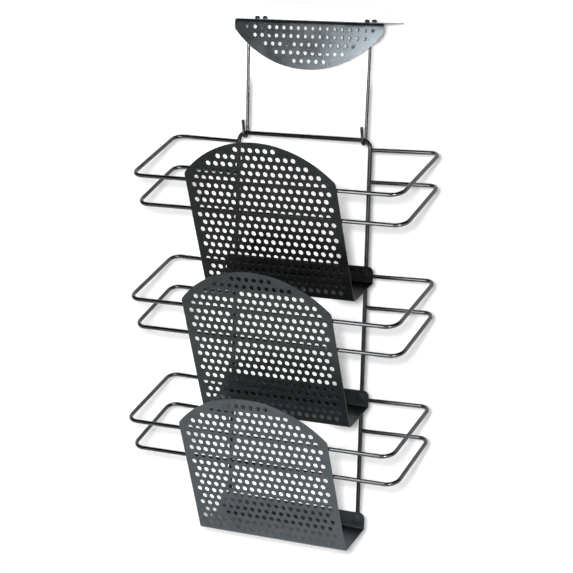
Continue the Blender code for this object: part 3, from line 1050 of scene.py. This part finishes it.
@dataclass
class Hanger:
    """Half-moon plate with its slotted flange, and the two rods that end in open hooks."""

    # Folded plate and the slots in its flange
    thickness: float = 0.001
    width: float = 0.177
    bend_radius: float = 0.0032
    side_height: float = 0.010
    height: float = 0.0517
    shoulder_radius: float = 0.004
    flange_corner: float = 0.004
    slot_width: float = 0.0039
    slot_length: float = 0.0409
    # Punched holes in the half-moon
    rows: int = 5
    first_row: float = 0.0077
    row_pitch: float = 0.00865
    hole_pitch: float = 0.00875
    punch_diameter: float = 0.0041
    holes_across: float = 0.0020
    side_margin: float = 0.012
    arch_margin: float = 0.0073
    # Rods, which spread to the top, and their hooks, which flare at the tip
    rod_diameter: float = 0.0032
    rod_spread: float = 0.0018
    hook_tip_height: float = 0.014
    hook_flare: float = 0.0025
    hook_knee_share: float = 0.35
    hook_flare_radius: float = 0.012
    # Welds between rods and plate
    weld_heights: tuple[float, ...] = (-0.0045, -0.0195)
    bead_size: tuple[float, float, float] = (0.0011, 0.0007, 0.0022)
    # Finishes
    coat: PowderCoat = PowderCoat("satin_slate_powder_coat", "6a7074", roughness=0.27)
    wire_coat: WireCoat = WireCoat("gunmetal_coat_on_rod", "393a3b")

    def build(self, shop: Workshop) -> None:
        """Build and dress the plate, the rods and the welds between them.

        Args:
            shop: Workshop with the trees.
        """
        plate_low, plate_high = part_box("hanger_plate")
        self.plate(shop, plate_low, plate_high)
        wire = self.wire_coat.material()
        beads = []
        for side in Side:
            low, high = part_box(f"hanger_rod_{side.name.lower()}")
            top, hook = self.rod_line(side, low, high)
            self.rod(shop, side, top, hook, wire)
            beads += [
                (self.weld_place(top, hook, plate_low.y, z), LEVEL, Vector(self.bead_size))
                for z in self.weld_heights
            ]
        bead = weld_bead("rod_bead")
        dress(shop.place_copies("rod_weld_beads", bead, beads, wire), "hanger", "rod_wire")

    def plate(self, shop: Workshop, low: Vector, high: Vector) -> None:
        """Fold the half-moon plate and dress it.

        Args:
            shop: Workshop with the trees.
            low: Lowest corner of the solid that it stands for.
            high: Its highest corner.
        """
        half_thick = self.thickness / 2
        top = Vector((0, low.y + half_thick, high.z - half_thick))
        bend = rounded_corner(top - UP, top, top + BACK, self.bend_radius, CORNER_STEPS)
        moon = Arch(self.width, self.side_height, self.height - half_thick, self.shoulder_radius)
        punched = Perforation(
            first_row=self.first_row, rows=self.rows, first_shift=0, in_line=1,
            side_margin=self.side_margin, arch_margin=self.arch_margin, row_pitch=self.row_pitch,
            hole_pitch=self.hole_pitch, hole_diameter=self.punch_diameter,
            across=self.holes_across)
        flange = rounded_tab(self.width, bend[-1].y, high.y, self.flange_corner)
        sheet = FoldedSheet(shop)
        sheet.flat([moon.outline((top - bend[0]).length)], punched.inputs(moon), top, -UP)
        sheet.bend(self.width, bend)
        sheet.flat([flange, *self.slots()], PLAIN, UP * top.z, BACK)
        piece = sheet.piece("half_moon_sheet", self.thickness, self.coat.material())
        dress(piece, "hanger", "hanger_sheet", "hanger_plate")

    def slots(self) -> list[list[tuple[float, float]]]:
        """Draw the two slots that the screws reach through.

        Returns:
            Their outlines.
        """
        radius = self.slot_width / 2
        outlines = []
        for side in Side:
            low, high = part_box(f"clamp_screw_{side.name.lower()}_front")
            x, front = (low.x + high.x) / 2, (low.y + high.y) / 2
            back = front - self.slot_width + self.slot_length
            outlines.append(
                arc(x, back, radius, 0, math.pi, HALF_HOLE_STEPS)
                + arc(x, front, radius, math.pi, 2 * math.pi, HALF_HOLE_STEPS))
        return outlines

    def rod_line(self, side: Side, low: Vector, high: Vector) -> tuple[Vector, Vector]:
        """Find the straight run of a rod, which stands a little farther out at its top.

        Args:
            side: Side of the rod.
            low: Lowest corner of the solid that it stands for.
            high: Its highest corner.

        Returns:
            Middle of the rod's top end, and the place level with the crossbar's middle.
        """
        bar_low, bar_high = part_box("frame_wire")
        radius = self.rod_diameter / 2
        outer = max(low.x * side.value, high.x * side.value) - radius
        y = high.y - radius
        bar_z = bar_high.z - (bar_high.y - bar_low.y) / 2
        top = Vector((side.value * outer, y, high.z))
        return top, Vector((side.value * (outer - self.rod_spread), y, bar_z))

    def weld_place(self, top: Vector, hook: Vector, plate_front: float, z: float) -> Vector:
        """Place of a weld bead between a rod and the plate, at a height."""
        x = top.x + (hook.x - top.x) * (top.z - z) / (top.z - hook.z)
        return Vector((x, plate_front + self.thickness + SEAT_GAP / 2, z))

    def rod(
        self, shop: Workshop, side: Side, top: Vector, hook: Vector, finish: bpy.types.Material
    ) -> None:
        """Bend one rod with its open hook and dress it.

        Args:
            shop: Workshop with the trees.
            side: Side of the rod.
            top: Middle of the rod's top end.
            hook: Place on the rod that is level with the crossbar's middle.
            finish: Material of the rod.
        """
        bar_low, bar_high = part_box("frame_wire")
        reach = hook.y - (bar_low.y + bar_high.y) / 2
        steps = [
            (0, -reach), (-2 * reach, -reach),
            (-2 * reach, self.hook_tip_height * self.hook_knee_share),
            (-2 * reach - self.hook_flare, self.hook_tip_height),
        ]
        path = [top] + [hook + BACK * y + UP * z for y, z in steps]
        radii = [reach, reach, self.hook_flare_radius]
        name = side.name.lower()
        rod = shop.bend_wire(f"rod_wire_{name}", path, radii, self.rod_diameter, finish)
        dress(rod, "hanger", "rod_wire", f"hanger_rod_{name}")


@dataclass
class FileFrame:
    """The frame wire, three pairs of wire loops, three punched pockets and their welds."""

    # Frame wire
    wire_diameter: float = 0.0045
    spacing: float = 0.1574
    bend_radius: float = 0.009
    # Tiers, each hung from the crossbar's middle
    tiers: int = 3
    tier_pitch: float = 0.13265
    first_loop_drop: float = 0.0097
    pair_drop: float = 0.0337
    # Loops, which run outward from the frame, forward and down
    loop_diameter: float = 0.0042
    loop_width: float = 0.317
    loop_taper: float = 0.0008
    loop_weld_dip: float = 0.0015
    loop_reach: float = 0.0909
    loop_fall: float = 0.0359
    loop_back_radius: float = 0.010
    loop_front_radius: float = 0.013
    # Pocket sheets: panel, shelf and back lip
    sheet_thickness: float = 0.001
    pocket_width: float = 0.177
    sheet_bend_radius: float = 0.0025
    lean: float = math.radians(22.3)
    panel_wire_spacing: float = 0.034
    panel_foot_drop: float = 0.1265
    panel_side_height: float = 0.1352
    panel_height: float = 0.1755
    panel_shoulder_radius: float = 0.006
    lip_corner_drop: float = 0.1395
    lip_height: float = 0.0172
    lip_corner_radius: float = 0.006
    # Weld marks on the lips, and beads on frame, loops and lips
    mark_height: float = 0.0095
    mark_size: tuple[float, float, float] = (0.0050, 0.0004, 0.0046)
    collar_size: tuple[float, float, float] = (0.0011, 0.0025, 0.0025)
    nugget_size: tuple[float, float, float] = (0.0024, 0.0008, 0.0014)
    nuggets: int = 4
    nugget_spacing: float = 0.048
    lip_bead_size: tuple[float, float, float] = (0.0016, 0.0009, 0.0024)
    lip_bead_heights: tuple[float, ...] = (0.0055, 0.0115)
    # Punched holes in the panels, counted from the front wire of the upper loop
    top_row: float = 0.0400
    rows: int = 19
    row_pitch: float = 0.00875
    hole_margin: float = 0.0060
    # Finishes
    frame_coat: WireCoat = WireCoat("near_black_coat_on_wire", "323334", roughness=0.30)
    loop_coat: WireCoat = WireCoat("gunmetal_coat_on_wire", "4f5153")
    # Painted light and shade: the three pockets share one coat, painted darkest on the upper pocket
    # and lightest on the lower, as the light falls on them
    pocket_coats_shaded_by_tier: tuple[PowderCoat, ...] = (
        PowderCoat("satin_near_black_powder_coat", "282a2b", roughness=0.30),
        PowderCoat("satin_charcoal_powder_coat", "3f4344", roughness=0.30),
        PowderCoat("satin_grey_powder_coat", "54595d", roughness=0.30),
    )
    pocket_slots: tuple[str, ...] = (
        "upper_pocket_sheet", "middle_pocket_sheet", "lower_pocket_sheet")

    def __post_init__(self) -> None:
        """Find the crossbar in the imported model."""
        low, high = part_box("frame_wire")
        radius = (high.y - low.y) / 2
        self.foot = low.z
        self.crossbar = Vector((0, (low.y + high.y) / 2, high.z - radius))
        self.panel_up = Vector((0, -math.sin(self.lean), math.cos(self.lean)))
        self.panel_out = Vector((0, -math.cos(self.lean), -math.sin(self.lean)))

    def build(self, shop: Workshop) -> None:
        """Build and dress all pieces of the file.

        Args:
            shop: Workshop with the trees.
        """
        frame_coat = self.frame_coat.material()
        loop_coat = self.loop_coat.material()
        self.frame_wire(shop, frame_coat)
        for tier in range(self.tiers):
            self.loops(shop, tier, loop_coat)
        self.pockets(shop)
        self.welds(shop, frame_coat, loop_coat)

    def back_height(self, tier: int) -> float:
        """Height of the back ends of a tier's upper loop."""
        return self.crossbar.z - self.first_loop_drop - tier * self.tier_pitch

    def panel_wire(self, tier: int) -> Vector:
        """Middle of the front wire of a tier's upper loop."""
        return Vector((
            0, self.crossbar.y - self.loop_reach, self.back_height(tier) - self.loop_fall))

    def frame_wire(self, shop: Workshop, finish: bpy.types.Material) -> None:
        """Bend the inverted U that carries everything, and dress it.

        Args:
            shop: Workshop with the trees.
            finish: Material of the wire.
        """
        half = self.spacing / 2
        corners = [
            Vector((x, self.crossbar.y, z)) for x, z in (
                (-half, self.foot), (-half, self.crossbar.z), (half, self.crossbar.z),
                (half, self.foot))
        ]
        wire = shop.bend_wire(
            "frame_bent_wire", corners, [self.bend_radius] * 2, self.wire_diameter, finish)
        dress(wire, "file", "frame_wire", "frame_wire")

    def loop_ends(self, tier: int) -> list[tuple[str, float, Vector]]:
        """Name, back height and middle of the front wire of a tier's upper and lower loop."""
        front = self.panel_wire(tier)
        back = self.back_height(tier)
        lower = front - self.panel_up * self.panel_wire_spacing
        return [("upper", back, front), ("lower", back - self.pair_drop, lower)]

    def loops(self, shop: Workshop, tier: int, finish: bpy.types.Material) -> None:
        """Bend the upper and the lower loop of one tier, and dress them.

        Args:
            shop: Workshop with the trees.
            tier: Number of the tier, from 0 at the top.
            finish: Material of the wire.
        """
        weld = self.spacing / 2 + self.wire_diameter / 2 + SEAT_GAP
        half = self.loop_width / 2
        radii = [
            self.loop_back_radius, self.loop_front_radius, self.loop_front_radius,
            self.loop_back_radius]
        for kind, back, front in self.loop_ends(tier):
            corners = [
                Vector((weld, self.crossbar.y, back)),
                Vector((half, self.crossbar.y, back + self.loop_weld_dip)),
                front + RIGHT * (half - self.loop_taper),
            ]
            corners += [Vector((-c.x, c.y, c.z)) for c in reversed(corners)]
            name = f"{kind}_loop_wire_{tier + 1}"
            wire = shop.bend_wire(name, corners, radii, self.loop_diameter, finish)
            dress(wire, "file", "loop_wire", f"{kind}_loop_{tier + 1}")

    def lip_corner(self, tier: int) -> Vector:
        """Corner between a pocket's back lip and its shelf, on the sheet's middle surface."""
        y = self.crossbar.y - self.wire_diameter / 2 - SEAT_GAP - self.sheet_thickness / 2
        return Vector((0, y, self.back_height(tier) - self.lip_corner_drop))

    def pockets(self, shop: Workshop) -> None:
        """Fold the three pockets and dress them, each in one coat with painted shade and light:
        darker on the upper pocket, lighter on the lower.

        Args:
            shop: Workshop with the trees.
        """
        coats = [coat.material() for coat in self.pocket_coats_shaded_by_tier]
        panel = Arch(
            self.pocket_width, self.panel_side_height, self.panel_height,
            self.panel_shoulder_radius)
        punched = Perforation(
            first_row=self.panel_foot_drop + self.top_row, rows=self.rows, first_shift=1,
            side_margin=self.hole_margin, arch_margin=self.hole_margin, row_pitch=-self.row_pitch)
        off_wire = self.loop_diameter / 2 + SEAT_GAP + self.sheet_thickness / 2
        for tier, (coat, slot) in enumerate(zip(coats, self.pocket_slots)):
            lip = self.lip_corner(tier)
            foot = self.panel_wire(tier) + self.panel_out * off_wire
            foot -= self.panel_up * self.panel_foot_drop
            radius = self.sheet_bend_radius
            lip_bend = rounded_corner(lip + UP, lip, foot, radius, CORNER_STEPS)
            foot_bend = rounded_corner(lip, foot, foot + self.panel_up, radius, CORNER_STEPS)
            sheet = FoldedSheet(shop)
            lip_outline = rounded_tab(
                self.pocket_width, (lip_bend[0] - lip).length, self.lip_height,
                self.lip_corner_radius)
            sheet.flat([lip_outline], PLAIN, lip, UP)
            sheet.bend(self.pocket_width, lip_bend + foot_bend)
            sheet.flat(
                [panel.outline((foot_bend[-1] - foot).length)], punched.inputs(panel), foot,
                self.panel_up)
            piece = sheet.piece(f"pocket_sheet_{tier + 1}", self.sheet_thickness, coat)
            dress(piece, "file", slot, f"pocket_{tier + 1}")
            marks = [
                (lip + RIGHT * side.value * self.spacing / 2 + UP * self.mark_height
                 - BACK * self.sheet_thickness / 2, LEVEL, Vector(self.mark_size))
                for side in Side
            ]
            name = f"lip_weld_marks_{tier + 1}"
            dress(shop.place_copies(name, weld_bead("mark"), marks, coat), "file", slot)

    def welds(
        self, shop: Workshop, frame_coat: bpy.types.Material, loop_coat: bpy.types.Material
    ) -> None:
        """Set the collars, dimples and nuggets that the welds leave, and dress them.

        Args:
            shop: Workshop with the trees.
            frame_coat: Material of the beads on the frame.
            loop_coat: Material of the beads on the loops.
        """
        tilted = Vector((-self.lean, 0, 0))
        collars, nuggets = [], []
        seat_x = self.spacing / 2 + self.wire_diameter / 2 + SEAT_GAP / 2
        off_wire = self.loop_diameter / 2 + SEAT_GAP / 2
        for tier in range(self.tiers):
            for _, back, front in self.loop_ends(tier):
                for side in Side:
                    place = Vector((side.value * seat_x, self.crossbar.y, back))
                    collars.append((place, LEVEL, Vector(self.collar_size)))
                seam = front + self.panel_out * off_wire
                for i in range(self.nuggets):
                    x = (i - (self.nuggets - 1) / 2) * self.nugget_spacing
                    nuggets.append((seam + RIGHT * x, tilted, Vector(self.nugget_size)))
            lip = self.lip_corner(tier)
            for side in Side:
                for height in self.lip_bead_heights:
                    place = lip + RIGHT * side.value * self.spacing / 2 + UP * height
                    place += BACK * (self.sheet_thickness / 2 + SEAT_GAP / 2)
                    collars.append((place, LEVEL, Vector(self.lip_bead_size)))
        dress(
            shop.place_copies("frame_weld_beads", weld_bead("frame_bead"), collars, frame_coat),
            "file", "frame_wire")
        dress(
            shop.place_copies("loop_weld_beads", weld_bead("loop_bead"), nuggets, loop_coat),
            "file", "loop_wire")


@dataclass(frozen=True)
class SoftLamp:
    """A rectangular soft lamp, or a bright card that only shows in gloss."""

    name: str
    place: tuple[float, float, float]
    aim: tuple[float, float, float]
    width: float
    height: float
    power: float
    gloss_only: bool = False

    def add(self) -> None:
        """Add the lamp, aimed and unseen by the camera."""
        light = bpy.data.lights.new(self.name, "AREA")
        light.shape = "RECTANGLE"
        light.size = self.width
        light.size_y = self.height
        light.energy = self.power
        lamp = bpy.data.objects.new(self.name, light)
        lamp.location = self.place
        toward = Vector(self.aim) - lamp.location
        lamp.rotation_euler = toward.to_track_quat("-Z", "Y").to_euler()
        lamp.visible_camera = False
        lamp.visible_diffuse = not self.gloss_only
        bpy.context.scene.collection.objects.link(lamp)
        LOG.info("lamp %s", self.name)


@dataclass(frozen=True)
class LitPatch:
    """Soft-edged rectangle of a studio paper that is brighter or darker than the rest."""

    left: float
    right: float
    bottom: float
    top: float
    edge: float

    def mask(
        self, tree: bpy.types.NodeTree, axes: bpy.types.Node, axis: str
    ) -> bpy.types.NodeSocket:
        """Draw the patch.

        Args:
            tree: Tree that gets the nodes.
            axes: Node that splits the place into X, Y and Z.
            axis: Axis that bottom and top are measured along.

        Returns:
            A socket that is 1 inside the patch and fades to 0 across its edge.
        """
        sides = (
            ("X", self.left, self.left + self.edge), ("X", self.right, self.right - self.edge),
            (axis, self.bottom, self.bottom + self.edge), (axis, self.top, self.top - self.edge))
        inside = 1.0
        for side_axis, start, end in sides:
            fade = add_node(
                tree, "ShaderNodeMapRange",
                {"Value": axes.outputs[side_axis], "From Min": start, "From Max": end},
                interpolation_type="SMOOTHSTEP")
            inside = add_node(
                tree, "ShaderNodeMath", {0: inside, 1: fade.outputs[0]},
                operation="MULTIPLY").outputs[0]
        return inside


@dataclass
class Studio:
    """Camera at the photograph's angle, a pale backdrop and floor, and plain soft light."""

    # Camera, fitted to the photograph
    camera_place: tuple[float, float, float] = (0.9990, -1.91885, 0.0229)
    azimuth: float = math.radians(28.0946)
    pitch: float = math.radians(8.0534)
    roll: float = math.radians(1.6730)
    lens: float = 126.995
    sensor: float = 36.0
    # Backdrop and floor
    backdrop_place: float = 0.0385
    backdrop_top: float = 0.080
    floor_height: float = -1.0
    stage_width: float = 8.0
    # Glow of the papers, beside what the lamps give them
    stage_glow: float = 0.03
    far_glow: float = 0.17
    far_left: float = -0.35
    far_right: float = 0.25
    patch_glow: float = 0.56
    floor_glow: float = 0.70
    pool_glow: float = -0.37
    # World: diffuse fill, and in gloss the dark parts overhead and towards the camera
    world_fill: float = 0.15
    sky_start: float = 0.02
    sky_end: float = 0.18
    sky_level: float = 0.02
    front_start: float = -0.60
    front_end: float = -0.80
    front_level: float = 0.06
    # Patches of the papers, and lamps
    pool: LitPatch = LitPatch(left=-0.95, right=0.45, bottom=-0.95, top=0.05, edge=0.25)
    # Painted light: the wall paper glows brighter inside these two patches, behind the panels and
    # the half-moon, lifting the shadow they cast there
    panels: LitPatch = LitPatch(left=-0.175, right=0.030, bottom=-0.565, top=-0.120, edge=0.03)
    half_moon: LitPatch = LitPatch(left=-0.120, right=0.060, bottom=-0.075, top=0.020, edge=0.02)
    lamps: tuple[SoftLamp, ...] = (
        SoftLamp(
            "key", place=(0.9166, -1.9628, 0.075), aim=(0, -0.03, -0.27), width=0.17,
            height=0.17, power=46.5),
        SoftLamp(
            "wire_card", place=(-0.085, -0.55, -0.35), aim=(0.10, -0.05, -0.30), width=0.11,
            height=0.24, power=1.0, gloss_only=True),
        SoftLamp(
            "plate_card", place=(-0.095, -0.55, -0.10), aim=(0.08, -0.02, -0.03), width=0.18,
            height=0.16, power=1.15, gloss_only=True),
    )

    def build(self) -> None:
        """Build the camera, the stage and the light."""
        self.camera()
        self.world()
        floor_paper = self.paper(
            "white_floor_paper", "Y", [self.pool], self.floor_glow, self.pool_glow, 0.0)
        wall_paper = self.paper(
            "white_wall_paper", "Z", [self.panels, self.half_moon], self.stage_glow,
            self.patch_glow, self.far_glow)
        half = self.stage_width / 2
        backdrop = [
            Vector((x, self.backdrop_place, z)) for x, z in (
                (-half, self.floor_height), (half, self.floor_height),
                (half, self.backdrop_top), (-half, self.backdrop_top))]
        floor = [
            Vector((x, y, self.floor_height)) for x, y in (
                (-half, -half), (half, -half), (half, half), (-half, half))]
        self.stage_sheet("backdrop", backdrop, wall_paper)
        self.stage_sheet("floor", floor, floor_paper)
        for lamp in self.lamps:
            lamp.add()

    def camera(self) -> None:
        """Add the camera and make it the scene's own."""
        forward = Vector((
            -math.sin(self.azimuth) * math.cos(self.pitch),
            math.cos(self.azimuth) * math.cos(self.pitch), -math.sin(self.pitch)))
        level = Vector((math.cos(self.azimuth), math.sin(self.azimuth), 0))
        upright = level.cross(forward)
        across = math.cos(self.roll) * level + math.sin(self.roll) * upright
        above = math.cos(self.roll) * upright - math.sin(self.roll) * level
        data = bpy.data.cameras.new("camera")
        data.lens = self.lens
        data.sensor_width = self.sensor
        camera = bpy.data.objects.new("camera", data)
        turn = Matrix((across, above, -forward)).transposed().to_4x4()
        camera.matrix_world = Matrix.Translation(Vector(self.camera_place)) @ turn
        bpy.context.scene.collection.objects.link(camera)
        bpy.context.scene.camera = camera

    def seen(self, tree: bpy.types.NodeTree, *kinds: str) -> bpy.types.NodeSocket:
        """Find the rays of some kinds.

        Args:
            tree: Tree that gets the nodes.
            kinds: Names of the Light Path outputs.

        Returns:
            A socket that is 1 for rays of any of the kinds.
        """
        ray = add_node(tree, "ShaderNodeLightPath")
        found = ray.outputs[kinds[0]]
        for kind in kinds[1:]:
            found = add_node(
                tree, "ShaderNodeMath", {0: found, 1: ray.outputs[kind]},
                operation="MAXIMUM").outputs[0]
        return found

    def world(self) -> None:
        """Make the world white to the eye, a plain fill, and dark above and in front in gloss."""
        world = bpy.data.worlds.new("white_studio")
        world.use_nodes = True
        tree = world.node_tree
        tree.nodes.clear()
        direction = add_node(tree, "ShaderNodeTexCoord").outputs["Generated"]
        axes = add_node(tree, "ShaderNodeSeparateXYZ", {"Vector": direction})
        sky = add_node(
            tree, "ShaderNodeMapRange",
            {"Value": axes.outputs["Z"], "From Min": self.sky_start, "From Max": self.sky_end,
             "To Min": 1.0, "To Max": self.sky_level})
        front = add_node(
            tree, "ShaderNodeMapRange",
            {"Value": axes.outputs["Y"], "From Min": self.front_start, "From Max": self.front_end,
             "To Min": 1.0, "To Max": self.front_level})
        room = add_node(
            tree, "ShaderNodeMath", {0: sky.outputs[0], 1: front.outputs[0]},
            operation="MULTIPLY")
        lit = add_node(
            tree, "ShaderNodeMapRange",
            {"Value": self.seen(tree, "Is Glossy Ray"), "To Min": self.world_fill,
             "To Max": room.outputs[0]})
        level = add_node(
            tree, "ShaderNodeMapRange",
            {"Value": self.seen(tree, "Is Camera Ray", "Is Transmission Ray"),
             "To Min": lit.outputs[0], "To Max": 1.0})
        white = add_node(
            tree, "ShaderNodeBackground",
            {"Color": linear(WHITE), "Strength": level.outputs[0]})
        add_node(tree, "ShaderNodeOutputWorld", {"Surface": white.outputs[0]})
        bpy.context.scene.world = world

    def paper(
        self, name: str, axis: str, patches: list[LitPatch], glow: float, patch_glow: float,
        far_glow: float,
    ) -> bpy.types.Material:
        """Build a white studio paper, seen from its front only.

        Args:
            name: Name of the material.
            axis: Second axis of the sheet, beside X.
            patches: Patches that are brighter or darker than the rest.
            glow: Brightness of the whole sheet beside what the lamps give it.
            patch_glow: Brightness added inside the patches, less than zero to darken them.
            far_glow: Brightness added at the left, where the shadows are paler.

        Returns:
            The material.
        """
        material = bpy.data.materials.new(name)
        material.use_nodes = True
        tree = material.node_tree
        tree.nodes.clear()
        matt = add_node(tree, "ShaderNodeBsdfDiffuse", {"Color": linear(WHITE_PAPER)})
        eye = self.seen(tree, "Is Camera Ray", "Is Glossy Ray", "Is Transmission Ray")
        place = add_node(tree, "ShaderNodeTexCoord").outputs["Object"]
        axes = add_node(tree, "ShaderNodeSeparateXYZ", {"Vector": place})
        lit = 0.0
        for patch in patches:
            lit = add_node(
                tree, "ShaderNodeMath", {0: lit, 1: patch.mask(tree, axes, axis)},
                operation="MAXIMUM").outputs[0]
        even = add_node(
            tree, "ShaderNodeMapRange",
            {"Value": axes.outputs["X"], "From Min": self.far_right, "From Max": self.far_left,
             "To Min": glow, "To Max": glow + far_glow})
        level = add_node(
            tree, "ShaderNodeMath",
            {0: lit, 1: patch_glow, 2: even.outputs[0]}, operation="MULTIPLY_ADD")
        shown = add_node(
            tree, "ShaderNodeMath", {0: eye, 1: level.outputs[0]}, operation="MULTIPLY")
        light = add_node(
            tree, "ShaderNodeEmission", {"Color": linear(WHITE), "Strength": shown.outputs[0]})
        front = add_node(
            tree, "ShaderNodeAddShader", {0: matt.outputs[0], 1: light.outputs[0]})
        clear = add_node(tree, "ShaderNodeBsdfTransparent")
        back = add_node(tree, "ShaderNodeNewGeometry").outputs["Backfacing"]
        mix = add_node(
            tree, "ShaderNodeMixShader", {0: back, 1: front.outputs[0], 2: clear.outputs[0]})
        add_node(tree, "ShaderNodeOutputMaterial", {"Surface": mix.outputs[0]})
        return material

    @staticmethod
    def stage_sheet(name: str, corners: list[Vector], paper: bpy.types.Material) -> None:
        """Add one flat sheet of the stage.

        Args:
            name: Name of the sheet.
            corners: Its corners, counter-clockwise as seen from its front.
            paper: Its material.
        """
        mesh = bpy.data.meshes.new(name)
        mesh.from_pydata(corners, [], [tuple(range(len(corners)))])
        mesh.materials.append(paper)
        add_object(name, mesh)


def main() -> None:
    """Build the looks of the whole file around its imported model."""
    logging.basicConfig(level=logging.INFO, format="%(name)s: %(message)s")
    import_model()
    scene = bpy.context.scene
    scene.view_settings.view_transform = "Standard"
    Studio().build()
    shop = Workshop()
    Saddle().build(shop)
    Hanger().build(shop)
    FileFrame().build(shop)


if __name__ == "__main__":
    main()
